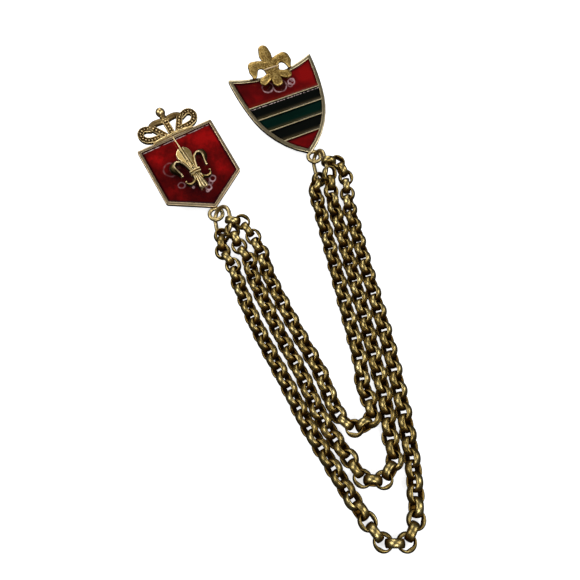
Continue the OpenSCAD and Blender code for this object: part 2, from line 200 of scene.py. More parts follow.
class Tree:
    """Short calls to build a material's node tree."""

    def __init__(self, name):
        self.material = bpy.data.materials.new(name)
        self.material.use_nodes = True
        self.tree = self.material.node_tree
        self.shader = self.tree.nodes["Principled BSDF"]
        self.coords = self.tree.nodes.new("ShaderNodeTexCoord").outputs["Object"]

    def link(self, source, target):
        self.tree.links.new(source, target)

    def noise(self, scale, detail, roughness, seed):
        """Noise of a scale in 1/m; the seed picks which."""
        node = self.tree.nodes.new("ShaderNodeTexNoise")
        node.noise_dimensions = "4D"
        for name, item in (("Scale", scale), ("Detail", detail), ("Roughness", roughness), ("W", seed)):
            node.inputs[name].default_value = item
        self.link(self.coords, node.inputs["Vector"])
        return node.outputs["Fac"]

    def value(self, operation, *items, clamp=False):
        node = self.tree.nodes.new("ShaderNodeMath")
        node.operation = operation
        node.use_clamp = clamp
        for socket, item in zip(node.inputs, items):
            if isinstance(item, (int, float)):
                socket.default_value = item
            else:
                self.link(item, socket)
        return node.outputs[0]

    def add(self, first, *others):
        for item in others:
            first = self.value("ADD", first, item)
        return first

    def times(self, first, *others):
        for item in others:
            first = self.value("MULTIPLY", first, item)
        return first

    def attribute(self, name):
        node = self.tree.nodes.new("ShaderNodeAttribute")
        node.attribute_name = name
        return node.outputs["Fac"]

    def ramp(self, factor, stops):
        """Colours along a factor; the first stop lies at 0 and the last at 1."""
        node = self.tree.nodes.new("ShaderNodeValToRGB")
        elements = node.color_ramp.elements
        elements[0].color = stops[0][1] + (1.0,)
        elements[1].color = stops[-1][1] + (1.0,)
        for at, colour in stops[1:-1]:
            elements.new(at).color = colour + (1.0,)
        self.link(factor, node.inputs["Fac"])
        return node.outputs["Color"]

    def spread(self, factor, low, high, to_low, to_high):
        """Takes the range from low to high to another one, and stays within it."""
        node = self.tree.nodes.new("ShaderNodeMapRange")
        for name, item in (("From Min", low), ("From Max", high), ("To Min", to_low), ("To Max", to_high)):
            node.inputs[name].default_value = item
        self.link(factor, node.inputs["Value"])
        return node.outputs["Result"]

    def pair(self, x, y):
        node = self.tree.nodes.new("ShaderNodeCombineXYZ")
        self.link(x, node.inputs["X"])
        self.link(y, node.inputs["Y"])
        return node.outputs["Vector"]

    def measure(self, operation, place, vector):
        """A place's DISTANCE from a point, or its DOT_PRODUCT with a direction."""
        node = self.tree.nodes.new("ShaderNodeVectorMath")
        node.operation = operation
        self.link(place, node.inputs[0])
        node.inputs[1].default_value = vector
        return node.outputs["Value"]

    def away(self, place, x, y):
        return self.measure("DISTANCE", place, (x, y, 0.0))

    def cover(self, factor, below, above):
        """A colour socket covered by a plain colour, as far as the factor says."""
        node = self.tree.nodes.new("ShaderNodeMix")
        node.data_type = "RGBA"
        self.link(factor, node.inputs["Factor"])
        first, second = [socket for socket in node.inputs if socket.type == "RGBA"]
        self.link(below, first)
        second.default_value = above + (1.0,)
        return node.outputs[2]

    def bump(self, height, strength, distance):
        node = self.tree.nodes.new("ShaderNodeBump")
        node.inputs["Strength"].default_value = strength
        node.inputs["Distance"].default_value = distance
        self.link(height, node.inputs["Height"])
        self.link(node.outputs["Normal"], self.shader.inputs["Normal"])

    def set(self, **values):
        for name, item in values.items():
            self.shader.inputs[name.replace("_", " ")].default_value = item


def gold(name, bright, warm, dark, shine, dull, patina_and_shade_weight, grain=0.0, wear=0.35, speckle=0.11):
    """Plated metal: bright where it is rubbed, and dark where its patina and painted shade are strong.
    Shine and dull are its roughness there, speckle the strength of its spots, and wear and grain that of its
    fine relief."""
    tree = Tree(name)
    tree.set(Metallic=1.0)
    cloud = tree.noise(420.0, 3.0, 0.6, 1.0)
    fine = tree.noise(2600.0, 3.0, 0.65, 4.0)
    stain_and_shade = tree.add(tree.times(tree.attribute("patina_and_shade"), patina_and_shade_weight),
                     tree.spread(cloud, 0.35, 0.75, -0.12, 0.22),
                     tree.spread(fine, 0.3, 0.7, -speckle, speckle))
    stain_and_shade = tree.value("ADD", stain_and_shade, tree.times(tree.attribute("tone"), TONE_SHARE), clamp=True)
    middle = tuple(0.55 * w + 0.45 * d for w, d in zip(warm, dark))
    colour = tree.ramp(stain_and_shade, [(0.0, bright), (0.3, warm), (0.62, middle), (1.0, dark)])
    tree.link(colour, tree.shader.inputs["Base Color"])
    tree.link(tree.spread(stain_and_shade, 0.0, 0.8, shine, dull), tree.shader.inputs["Roughness"])
    height = tree.add(tree.times(fine, 0.6), tree.noise(900.0, 2.0, 0.5, 9.0))
    if grain:
        height = tree.add(height, tree.times(tree.noise(6500.0, 2.0, 0.6, 6.0), grain))
    tree.bump(height, wear, GOLD_RELIEF)
    return tree.material


def mirrored_edges(tree, colour, place, along, scallops, loops):
    """The metal's edges as enamel mirrors them, in thin broken lines. Scallops are rows of middle and radius,
    joined in one line that is dark inside. Loops have a strength too, and each is a line by itself."""
    wobble = tree.spread(tree.noise(450.0, 1.0, 0.5, 3.0), 0.3, 0.7, -0.16, 0.16)
    broken = tree.spread(tree.noise(700.0, 1.0, 0.5, 5.0), 0.38, 0.6, 0.35, 1.0)
    lines = []
    if scallops:
        least, *others = [tree.value("SUBTRACT", tree.away(place, x, y), radius) for x, y, radius in scallops]
        for other in others:
            least = tree.value("MINIMUM", least, other)
        colour = tree.cover(tree.spread(least, -0.5, 0.1, 0.55, 0.0), colour, SHADOW_COLOUR)
        lines.append((least, tree.spread(along, *SCALLOP_FADE, *SCALLOP_STRENGTH)))
    for x, y, radius, strength in loops:
        lines.append((tree.value("SUBTRACT", tree.away(place, x, y), radius), strength))
    for line, strength in lines:
        line = tree.value("ABSOLUTE", tree.add(line, wobble))
        line = tree.times(tree.spread(line, 0.08, 0.3, 1.0, 0.0), strength, broken)
        colour = tree.cover(line, colour, MIRROR_COLOUR)
    return colour


def broken_glint(tree, colour, across, along, height, start, end, grain):
    """A light's reflection: a line of bright specks at a height, fading at both ends."""
    line = tree.value("ABSOLUTE", tree.value("SUBTRACT", along, height))
    line = tree.spread(line, 0.05, 0.16, 1.0, 0.0)
    span = tree.times(tree.spread(across, start, start + 1.5, 0.0, 1.0),
                      tree.spread(across, end - 1.5, end, 1.0, 0.0))
    specks = tree.spread(tree.noise(grain, 3.0, 0.6, 8.0), 0.42, 0.56, 0.0, 1.0)
    return tree.cover(tree.times(line, span, specks), colour, GLINT_COLOUR)


def enamel(name, stops, scale, slope=None, shades=(), painted_reflection=None, glint=None, scallops=(), loops=()):
    """Glass-like enamel with clouds of colour. Places are in mm across and along the shield. Slope is the
    direction, in 1/m, along which it darkens, and its start. Shades are rows of middle, radius and strength
    of darker places, or brighter ones where it is negative. The glow is a painted reflection of the metal
    below it, a colour laid just above the lower edge. Glint has a bright line's height, ends and grain.
    Scallops and loops are the edges it mirrors."""
    tree = Tree(name)
    tree.set(Metallic=0.0, Roughness=0.07, IOR=1.45, Coat_Roughness=0.03)
    across, along, edge = tree.attribute("across"), tree.attribute("along"), tree.attribute("edge")
    # the edge attribute adds painted shade along the rim
    factor = tree.add(tree.spread(tree.noise(scale, 2.0, 0.5, 2.0), 0.3, 0.7, 0.05, 0.45),
                      tree.spread(tree.noise(scale * 4.5, 3.0, 0.6, 7.0), 0.3, 0.7, -0.12, 0.12),
                      tree.times(edge, 0.8))
    place = tree.pair(across, along)
    if slope:
        way, start = slope
        factor = tree.add(factor, tree.add(tree.measure("DOT_PRODUCT", tree.coords, way), start))
    for x, y, radius, strength in shades:
        factor = tree.add(factor, tree.spread(tree.away(place, x, y), 0.3 * radius, radius, strength, 0.0))
    colour = tree.ramp(factor, stops)
    if painted_reflection:
        colour = tree.cover(tree.spread(tree.attribute("above"), 0.1, 1.2, 0.8, 0.0), colour, painted_reflection)
    colour = mirrored_edges(tree, colour, place, along, scallops, loops)
    if glint:
        colour = broken_glint(tree, colour, across, along, *glint)
    tree.link(colour, tree.shader.inputs["Base Color"])
    tree.link(tree.spread(edge, 0.2, 0.8, 0.5, 0.02), tree.shader.inputs["Specular IOR Level"])
    tree.link(tree.spread(edge, 0.2, 0.8, 0.2, 0.0), tree.shader.inputs["Coat Weight"])
    tree.bump(tree.noise(260.0, 2.0, 0.45, 3.0), 0.5, ENAMEL_RELIEF)
    return tree.material


# meshes

def finish_piece(name, mesh, material, node):
    piece = bpy.data.objects.new(name, mesh)
    bpy.context.scene.collection.objects.link(piece)
    mesh.materials.clear()
    mesh.materials.append(material)
    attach(piece, "root")
    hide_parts(node)


def store(mesh, name, values):
    layer = mesh.attributes.new(name, "FLOAT", "POINT")
    layer.data.foreach_set("value", np.ascontiguousarray(values, dtype=np.float32))


def paint_side_shade(mesh):
    """Painted shade: a wire is lighter on top and darker at its sides and below."""
    store(mesh, "patina_and_shade", [min(max(0.6 - 0.8 * v.normal.z, 0.0), 1.0) for v in mesh.vertices])


def paint_low_shade(mesh, parts, start, depth):
    """Painted shade: metal gets darker below a height, on the rim's shoulders and the shield's sides."""
    heights = np.array([p[2] for points, _ in parts for p in points])
    store(mesh, "patina_and_shade", np.clip((start - heights) / depth, 0, 0.8))


def joined(parts):
    """One list of points and one of faces from several of each."""
    points, faces = [], []
    for part_points, part_faces in parts:
        base = len(points)
        points += [tuple(p) for p in part_points]
        faces += [tuple(base + k for k in face) for face in part_faces]
    return points, faces


def mesh_from(name, parts, place, sharp=None):
    points, faces = joined(parts)
    mesh = bpy.data.meshes.new(name)
    mesh.from_pydata(points, [], faces)
    mesh.transform(place)
    bm = bmesh.new()
    bm.from_mesh(mesh)
    bmesh.ops.recalc_face_normals(bm, faces=bm.faces)
    bm.to_mesh(mesh)
    bm.free()
    mesh.shade_smooth()
    if sharp:
        mesh.set_sharp_from_angle(angle=math.radians(sharp))
    return mesh


def loft(rings, closed=False):
    """Rings of the same number of points, joined in order; closed joins the last to the first."""
    count = len(rings[0])
    points = [p for ring in rings for p in ring]
    faces = []
    for k in range(len(rings) if closed else len(rings) - 1):
        a, b = k * count, ((k + 1) % len(rings)) * count
        for i in range(count):
            j = (i + 1) % count
            faces.append((a + i, a + j, b + j, b + i))
    if not closed:
        faces.append(tuple(range(count - 1, -1, -1)))
        faces.append(tuple(range(len(points) - count, len(points))))
    return points, faces


def spline(rows, steps=8):
    """A smooth run through rows of numbers."""
    rows = [np.array(r, float) for r in rows]
    out = []
    for k in range(len(rows) - 1):
        a, b, c, d = rows[max(k - 1, 0)], rows[k], rows[k + 1], rows[min(k + 2, len(rows) - 1)]
        slope = (c - a) / 2
        bend = a - 2.5 * b + 2 * c - d / 2
        twist = 1.5 * b - 1.5 * c + (d - a) / 2
        for s in range(steps):
            f = s / steps
            out.append(b + f * (slope + f * (bend + f * twist)))
    out.append(rows[-1])
    return out


def arc(centre, radius, start, end, steps):
    out = []
    for k in range(steps + 1):
        angle = math.radians(start + (end - start) * k / steps)
        out.append((centre[0] + radius * math.cos(angle), centre[1] + radius * math.sin(angle)))
    return out


def round_angles(sides):
    """Equal steps once round, in radians."""
    return np.linspace(0, 2 * math.pi, sides + 1)[:-1]


def unit(v):
    return v / max(np.linalg.norm(v), 1e-12)


def heading(path, k, closed=False):
    """Direction of a path at one of its points."""
    if closed:
        return unit(path[(k + 1) % len(path)] - path[k - 1])
    return unit(path[min(k + 1, len(path) - 1)] - path[max(k - 1, 0)])


def left_of(path, k):
    """Direction to the left of a path in plan."""
    ahead = heading([row[:2] for row in path], k)
    return np.array((-ahead[1], ahead[0]))


def rounded(outline, radii, by):
    """The outline drawn inwards by a distance; corners with a radius get an arc that shrinks with it."""
    p = np.array(outline, float)
    count = len(p)
    out = []
    for k in range(count):
        before, after = unit(p[k] - p[k - 1]), unit(p[(k + 1) % count] - p[k])
        n1, n2 = np.array((-before[1], before[0])), np.array((-after[1], after[0]))
        corner = p[k] + by * (n1 + n2) / (1 + n1 @ n2)
        if not radii[k]:
            out.append(tuple(corner))
            continue
        radius = max(radii[k] - by, LEAST_CORNER_R)
        turn = math.atan2(before[0] * after[1] - before[1] * after[0], before @ after)
        reach = radius * math.tan(turn / 2)
        centre = corner - before * reach + n1 * radius
        start = math.degrees(math.atan2(-n1[1], -n1[0]))
        out += arc(centre, radius, start, start + math.degrees(turn), 6)
    return out


def at_height(points, z):
    return [(x, y, z) for x, y in points]


def both_sides(left):
    """A whole section from its left half; a point in its middle isn't repeated."""
    return left + [(-across, z) for across, z in reversed(left) if across]


def tube(path, radius, sides, closed=False):
    """A round wire along a path of points."""
    path = [np.array(p, float) for p in path]
    up = np.array((0.0, 0.0, 1.0))
    rings = []
    for k, point in enumerate(path):
        ahead = heading(path, k, closed)
        side = unit(np.cross(up, ahead))
        rise = np.cross(ahead, side)
        rings.append([point + radius * (math.cos(a) * side + math.sin(a) * rise)
                      for a in round_angles(sides)])
    return loft(rings, closed)


def ball(centre, radius, stretch=(1, 1, 1), sides=16):
    rings = []
    for lat in np.linspace(-84, 84, sides // 2 + 3):
        c, s = math.cos(math.radians(lat)), math.sin(math.radians(lat))
        rings.append([(centre[0] + radius * stretch[0] * c * math.cos(a),
                       centre[1] + radius * stretch[1] * c * math.sin(a),
                       centre[2] + radius * stretch[2] * s) for a in round_angles(sides)])
    return loft(rings)


def band(path, section):
    """A bar along a flat path; rows of the path are x, y, z, width factor and height factor,
    and the section's rows are the offset to the left of the path and the height."""
    path = [np.array(row, float) for row in path]
    rings = []
    for k, (x, y, z, wide, high) in enumerate(path):
        left = left_of(path, k)
        rings.append([(x + left[0] * a * wide, y + left[1] * a * wide, z + b * high) for a, b in section])
    return loft(rings)


def domed_bar(row, levels):
    """A bar with round ends of two sizes. The levels' rows are the part of its radius taken off and the
    height."""
    start, end, r1, r2 = row[:2], row[2:4], row[4] / 2, row[5] / 2
    run = np.array(end, float) - np.array(start, float)
    turn = math.degrees(math.atan2(run[1], run[0]))
    reach = 90 - math.degrees(math.asin((r1 - r2) / np.linalg.norm(run)))
    rings = []
    for cut, z in levels:
        outline = arc(start, r1 * (1 - cut), turn + reach, turn + 360 - reach, 14)
        outline += arc(end, r2 * (1 - cut), turn - reach, turn + reach, 14)
        rings.append(at_height(outline, z))
    return loft(rings)


def fused(name, parts, voxel):
    """One skin around overlapping parts."""
    mesh = mesh_from(name + "_parts", parts, Matrix())
    whole = bpy.data.objects.new(name + "_parts", mesh)
    bpy.context.scene.collection.objects.link(whole)
    remesh = whole.modifiers.new("fuse", "REMESH")
    remesh.mode = "VOXEL"
    remesh.voxel_size = voxel
    graph = bpy.context.evaluated_depsgraph_get()
    skin = bpy.data.meshes.new_from_object(whole.evaluated_get(graph))
    bpy.data.objects.remove(whole)
    skin.name = name
    return skin


# rounds of easing a cast's edges and their strength, rounds that blur it to find its hollows, and how the
# hollows' depth is scaled into their patina
EASE_ROUNDS = 2
EASE = 0.6
BLUR_ROUNDS = 14
RECESS_GAIN = 0.9
RECESS_BASE = 0.25


def cast(name, parts, voxel, place, stain_and_shade):
    """Fuses overlapping parts into one eased skin and notes its patina, by how sunken it is, and painted
    shade.
    """
    skin = fused(name, parts, voxel)
    count = len(skin.vertices)
    co = np.zeros(count * 3)
    skin.vertices.foreach_get("co", co)
    co = co.reshape(-1, 3)
    edges = np.zeros(len(skin.edges) * 2, int)
    skin.edges.foreach_get("vertices", edges)
    edges = edges.reshape(-1, 2)
    neighbours = np.bincount(edges.ravel(), minlength=count)[:, None]

    def average(values):
        total = np.zeros_like(values)
        np.add.at(total, edges[:, 0], values[edges[:, 1]])
        np.add.at(total, edges[:, 1], values[edges[:, 0]])
        return total / neighbours

    for _ in range(EASE_ROUNDS):
        co = co * (1 - EASE) + average(co) * EASE
    skin.vertices.foreach_set("co", co.ravel())
    skin.update()
    normals = np.array([v.normal[:] for v in skin.vertices])
    blurred = co
    for _ in range(BLUR_ROUNDS):
        blurred = average(blurred)
    patina_and_shade = ((blurred - co) * normals).sum(1) / voxel
    store(skin, "patina_and_shade", np.clip(patina_and_shade * RECESS_GAIN + RECESS_BASE + stain_and_shade(co), 0, 1))
    skin.transform(place)
    skin.shade_smooth()
    return skin


# shield outlines, from the lower tip up

CROWNED_W, CROWNED_H, CROWNED_SIDE, CROWNED_RIM = 23.8, 25.2, 7.0, 0.95
CROWNED_OUTLINE = [(0, 0), (CROWNED_W / 2, CROWNED_SIDE), (CROWNED_W / 2, CROWNED_H),
                   (-CROWNED_W / 2, CROWNED_H), (-CROWNED_W / 2, CROWNED_SIDE)]
CROWNED_RADII = [0.5, 0.8, 0.55, 0.55, 0.8]

# the pointed shield's sides are two arcs that meet at the side turn
POINTED_H, POINTED_DIP, POINTED_RIM, POINTED_ROUND = 31.5, 2.9, 1.15, 0.4
DIVIDER_W, DIVIDER_FIRST, DIVIDER_STEP = 0.5, 6.5, 4.5
DIVIDERS = [DIVIDER_FIRST + DIVIDER_STEP * k for k in range(4)]
SIDE_TURN = math.radians(-13.0)
LOWER_X, LOWER_Y, LOWER_R, UPPER_R = -14.2, 22.96, 27.0, 70.0
UPPER_X = LOWER_X + (LOWER_R - UPPER_R) * math.cos(SIDE_TURN)
UPPER_Y = LOWER_Y + (LOWER_R - UPPER_R) * math.sin(SIDE_TURN)


def side_x(y, by):
    """Half the pointed shield's width at a height, a distance in from its edge."""
    if y <= LOWER_Y + (LOWER_R - by) * math.sin(SIDE_TURN):
        return LOWER_X + math.sqrt(max((LOWER_R - by) ** 2 - (y - LOWER_Y) ** 2, 0.0))
    return UPPER_X + math.sqrt((UPPER_R - by) ** 2 - (y - UPPER_Y) ** 2)


def dip_y(x, by):
    """Height of the pointed shield's hollow top edge, a distance in from it."""
    corner = side_x(POINTED_H, 0.0)
    dip_r = (corner ** 2 + POINTED_DIP ** 2) / (2 * POINTED_DIP)
    return POINTED_H - POINTED_DIP + dip_r - math.sqrt((dip_r + by) ** 2 - x * x)


def corner_y(by):
    """Height at which the side meets the hollow top edge, found by halving."""
    below, above = 20.0, POINTED_H + 1.0
    for _ in range(40):
        middle = (below + above) / 2
        if middle > dip_y(side_x(middle, by), by):
            above = middle
        else:
            below = middle
    return middle


def pointed_ring(by, low, high, steps):
    """The pointed shield's outline between two heights, drawn inwards by a distance.
    None stands for its lower tip or for its hollow top edge."""
    bottom = LOWER_Y - math.sqrt((LOWER_R - by) ** 2 - LOWER_X ** 2) if low is None else low + by
    top = corner_y(by) if high is None else high - by
    right = [(side_x(y, by), y) for y in np.linspace(bottom, top, steps + 1)]
    if low is None:
        right[0] = (0.0, bottom)
    across = []
    if high is None:
        across = [(x, dip_y(x, by)) for x in np.linspace(right[-1][0], -right[-1][0], steps + 1)[1:-1]]
    left = [(-x, y) for x, y in reversed(right)]
    return right + across + (left[:-1] if low is None else left)


def pointed_round_ring(by):
    """The whole outline, with rounded corners."""
    steps = 12
    outline = pointed_ring(by, None, None, steps)
    radii = [0.0] * len(outline)
    for corner in (0, steps, 2 * steps):
        radii[corner] = max(POINTED_ROUND - by, LEAST_CORNER_R)
    return rounded(outline, radii, 0.0)


def crowned_ring(by):
    return rounded(CROWNED_OUTLINE, CROWNED_RADII, by)


def shell(ring, rim, crest):
    """Back plate and raised rim in one. The profile's rows are the distance in from the edge and the height,
    and the crest is how much lower the rim's shoulders are than its middle."""
    profile = [(0.14, -SHIELD_T), (0.04, -SHIELD_T + 0.04), (0.0, -SHIELD_T + 0.14), (0.0, -0.2),
               (0.03, -0.09), (0.1, -crest * 0.6), (0.2, -crest * 0.15), (rim * 0.5, 0.0),
               (rim - 0.2, -crest * 0.15), (rim - 0.1, -crest * 0.6), (rim - 0.03, -0.1), (rim, -0.2),
               (rim, PLATE_TOP)]
    return loft([at_height(ring(by), z) for by, z in profile])


def hanging_loop(at, rise):
    """A wire ring under a shield's tip, which lies nearly level whatever the shield's rise."""
    tilt = math.radians(LOOP_LEVEL - rise)
    path = []
    for a in round_angles(48):
        x, y = LOOP_R * math.cos(a), LOOP_R * math.sin(a)
        path.append((at[0] + x, at[1] + y * math.cos(tilt), -SHIELD_T / 2 + y * math.sin(tilt)))
    return tube(path, LOOP_WIRE_R, WIRE_SIDES, closed=True)


def jump_ring(name, node, at, turn, rise, tilt, end_r, straight, material):
    """Two half rounds joined by straight sides, laid as in the CAD model."""
    path = []
    for start, shift in ((0.0, straight / 2), (math.pi, -straight / 2)):
        path += [(end_r * math.cos(a), end_r * math.sin(a) + shift, 0)
                 for a in np.linspace(start, start + math.pi, 25)]
    place = laid(at, turn, rise) @ Matrix.Rotation(math.radians(-tilt), 4, "Y")
    mesh = mesh_from(name, [tube(path, RING_WIRE_R, WIRE_SIDES, closed=True)], place)
    paint_side_shade(mesh)
    finish_piece(name, mesh, material, node)


# rows: distance in from the edge and height
FIELD_EDGE = [(0.0, PLATE_TOP + 0.03), (0.0, -0.07), (0.035, -0.13), (0.09, -0.19), (0.18, -0.24),
              (0.32, -0.28), (0.5, -ENAMEL_DROP), (0.75, -ENAMEL_DROP), (1.0, -ENAMEL_DROP)]
# distance in from the edge at which the edge attribute, and the painted shade along the rim, are down to
# nothing
EDGE_W = 0.75


def field(name, ring, place, material, node, low=0.0):
    """A plate of enamel that climbs a little at its edge; low is the height its lower edge lies at."""
    rings = [at_height(ring(by), z) for by, z in FIELD_EDGE]
    mesh = mesh_from(name, [loft(rings)], place, 60)
    points = np.array([p for ring in rings for p in ring])
    store(mesh, "edge", [max(0.0, 1.0 - by / EDGE_W) for by, _ in FIELD_EDGE for _ in rings[0]])
    store(mesh, "across", points[:, 0])
    store(mesh, "along", points[:, 1])
    store(mesh, "above", points[:, 1] - low)
    finish_piece(name, mesh, material, node)


# crowned shield

def crowned_shell(material, wire):
    parts = [shell(crowned_ring, CROWNED_RIM, 0.05)]
    mesh = mesh_from("crowned_shell", parts, CROWNED, 40)
    paint_low_shade(mesh, parts, -0.03, 0.25)
    finish_piece("crowned_shell", mesh, material, "crowned_frame")
    mesh = mesh_from("crowned_loop", [hanging_loop((-0.9, -1.7), CROWNED_RISE)], CROWNED)
    paint_side_shade(mesh)
    finish_piece("crowned_loop", mesh, wire, "crowned_frame")


def crowned_field(material):
    field("crowned_field", lambda by: crowned_ring(by + CROWNED_RIM - SEAT), CROWNED, material,
          "crowned_enamel")


# crown: heights in plan are counted from the shield's top edge
CROWN_X = -0.25
CROWN_Z = -0.45
CROWN_VOXEL = 0.075
RAIL_SECTION = both_sides([(-0.86, -0.8), (-0.95, -0.2), (-0.95, 0.42), (-0.84, 0.62), (-0.68, 0.62),
                           (-0.56, 0.4), (-0.46, 0.22)])
ARCH_SECTION = both_sides([(-0.8, -0.8), (-0.98, -0.2), (-0.94, 0.2), (-0.7, 0.55), (-0.36, 0.72),
                           (0.0, 0.78)])
FOOT_SECTION = [(-0.42, -0.7), (-0.42, 0.45), (-0.32, 0.6), (0.0, 0.66), (0.32, 0.6), (0.45, 0.45),
                (0.45, -0.7)]
# columns: x, y
LOBE = [(3.0, 1.15), (5.2, 1.2), (6.8, 1.55), (7.9, 2.3), (8.4, 3.4), (8.2, 4.5), (7.4, 5.15), (6.4, 5.2),
        (5.4, 4.8), (4.7, 4.4)]
MIDDLE_STRUT = [(0, 0.6), (0, 3.2), (0, 5.9)]
SIDE_STRUT = [(1.9, 0.6), (3.3, 2.9), (4.85, 5.3)]
# columns: x, y, width factor
ARCH = [(5.0, 4.9, 0.8), (4.2, 5.5, 0.95), (3.2, 5.82, 1.0), (2.1, 5.8, 1.0), (1.0, 5.65, 1.0), (0, 5.5, 1.0)]
CROWN_FOOT = [(-6.3, 0.1, 0.7), (-3.2, 0.35, 0.95), (0, 0.45, 1.0), (3.2, 0.35, 0.95), (6.3, 0.1, 0.7)]
# columns: y, radius, height
CROWN_NECK = [(5.4, 1.0, 0.0), (6.2, 0.9, 0.08), (7.0, 0.95, 0.12), (7.6, 1.0, 0.15)]


def beads_along(path, step, radius, lift, start=0.4):
    """Beads set at equal distances on a path."""
    out = []
    run = start
    travelled = 0.0
    for a, b in zip(path, path[1:]):
        length = np.linalg.norm(b[:3] - a[:3])
        while run <= travelled + length:
            p = a + (b - a) * ((run - travelled) / length)
            out.append(ball((p[0], p[1], p[2] + lift), radius, sides=12))
            run += step
        travelled += length
    return out


def crown_side(side):
    """A beaded loop and half of the arch."""
    lobe = spline([(side * x, CROWNED_H + y, CROWN_Z, 1, 1) for x, y in LOBE])
    arch = spline([(side * x, CROWNED_H + y, CROWN_Z + 0.05, w, w) for x, y, w in ARCH])
    return [band(lobe, RAIL_SECTION)] + beads_along(lobe[:-6], 0.9, 0.3, 0.42) + [band(arch, ARCH_SECTION)]


def crown_strut(rows, side):
    path = spline([(side * x, CROWNED_H + y, CROWN_Z + 0.12, 1.0, 1.0) for x, y in rows])
    return [band(path, RAIL_SECTION)] + beads_along(path[:-3], 1.0, 0.35, 0.45)


def crown_neck():
    rings = []
    for y, radius, z in CROWN_NECK:
        rings.append([(radius * math.cos(a), CROWNED_H + y, CROWN_Z + 0.2 + z + radius * 0.85 * math.sin(a))
                      for a in round_angles(24)])
    return loft(rings)


def crown_darkening(co):
    """The arches, the tops and ends of the loops and the ball's neck are the darkest; on the neck it is
    painted shade under the ball.
    """
    across, up = np.abs(co[:, 0]), co[:, 1] - CROWNED_H
    high = np.clip((up - 3.0) / 2.0, 0, 1) * np.where(across < 1.3, 0.1, 0.6)
    end = np.clip((across - 4.8) / 2.5, 0, 1) * 0.6
    neck = np.clip(1.3 - np.abs(up - 6.2), 0, 1) * np.where(across < 1.3, 0.5, 0.0)
    return np.maximum(np.maximum(high, end), neck)


def crown(material):
    parts = crown_side(-1) + crown_side(1)
    parts += crown_strut(MIDDLE_STRUT, 1) + crown_strut(SIDE_STRUT, -1) + crown_strut(SIDE_STRUT, 1)
    foot = spline([(x, CROWNED_H + y, CROWN_Z + 0.1, w, 1) for x, y, w in CROWN_FOOT])
    parts += [band(foot, FOOT_SECTION), crown_neck(),
              ball((0, CROWNED_H + 8.2, CROWN_Z + 0.35), 1.4, (1, 1.04, 1), 32)]
    mesh = cast("crown", parts, CROWN_VOXEL, CROWNED @ Matrix.Translation((CROWN_X, 0, 0)), crown_darkening)
    finish_piece("crown", mesh, material, "crowned_frame")


# raised fleur: RAISED_LOW is the height of its underside, and it leans about a point 8 mm above the tip
RAISED_LOW = 0.05 - ENAMEL_DROP
RAISED_LEAN = (Matrix.Translation((0, 8, 0)) @ Matrix.Rotation(math.radians(3.0), 4, "Z")
              @ Matrix.Translation((0, -8, 0)))
RAISED_VOXEL = 0.06
COLLAR_SECTION = both_sides([(-0.62, 0.0), (-0.62, 1.7), (-0.5, 1.88), (-0.28, 1.88), (-0.16, 1.6),
                             (0.0, 1.5)])
CURL_SECTION = both_sides([(-0.3, 0.0), (-0.32, 1.1), (-0.2, 1.42), (0.0, 1.5)])
# columns: y, half of the width
PETAL = [(12.2, 0.85), (13.4, 0.95), (15.0, 1.3), (16.6, 1.85), (17.9, 2.28), (18.9, 2.2), (19.7, 1.7),
         (20.2, 0.9)]
RAISED_FOOT = [(11.4, 0.72), (10.2, 0.85), (8.9, 1.1), (7.7, 1.35), (7.0, 1.3), (6.6, 0.9)]
# columns: x, y, z
ROD = [(0, 13.5, 1.2), (0, 16, 1.32), (0, 19, 1.28), (0, 21.5, 1.1),
       (0, CROWNED_H - CROWNED_RIM - 0.05, 0.95)]
# columns: x, y, width of the slope, height of the wall
HOOK = [(1.0, 12.6, 0.1, 1.5), (1.25, 13.6, 0.1, 1.6), (1.6, 14.8, 0.15, 1.7), (2.15, 15.9, 0.3, 1.75),
        (2.85, 16.55, 0.4, 1.75), (3.65, 16.65, 0.6, 1.75), (4.3, 16.15, 1.25, 1.75), (4.5, 15.3, 1.1, 1.7),
        (4.25, 14.2, 0.6, 1.6), (4.0, 13.2, 0.25, 1.5), (3.95, 12.5, 0.1, 1.35)]
# columns: x, y, width factor, height factor
CURL = [(0.8, 11.1, 1.2, 0.9), (1.15, 10.2, 1.2, 0.95), (1.7, 9.5, 1.1, 1.0), (2.4, 9.12, 1.0, 1.05),
        (3.15, 9.15, 1.0, 1.05), (3.75, 9.65, 0.9, 1.0), (3.9, 10.35, 0.7, 0.9)]


def petal():
    """The middle leaf, with a channel for the rod and ridges beside it."""
    rings = []
    for y, half in spline(PETAL, 5):
        top = 1.3 - 0.015 * (y - 12.3)
        near = [(0.0, top - 0.22), (0.14, top - 0.22), (0.24, top + 0.02), (0.36, top + 0.02),
                (0.44, top - 0.24), (0.52, top - 0.26), (0.6, top)]
        for u in (0.62, 0.82, 0.95):
            near.append((max(u * half, 0.62 + 0.1 * u), top - 0.3 * max(u * half - 0.6, 0)))
        near += [(half, RAISED_LOW + 0.3), (half, RAISED_LOW)]
        rings.append([(-x, y, z) for x, z in reversed(near)] + [(x, y, z) for x, z in near[1:]])
    return loft(rings)


def ribbed_foot():
    """Three ribs that spread downwards."""
    rings = []
    for y, half in spline(RAISED_FOOT, 4):
        ring = [(-half, y, RAISED_LOW)]
        for u in [-1 + k / 12 for k in range(25)]:
            rib = 0.3 * abs(math.cos(u * 1.5 * math.pi)) ** 0.7
            ring.append((u * half, y, 0.98 + rib - 0.35 * u * u - 0.05 * (11.4 - y)))
        ring.append((half, y, RAISED_LOW))
        rings.append(ring)
    return loft(rings)


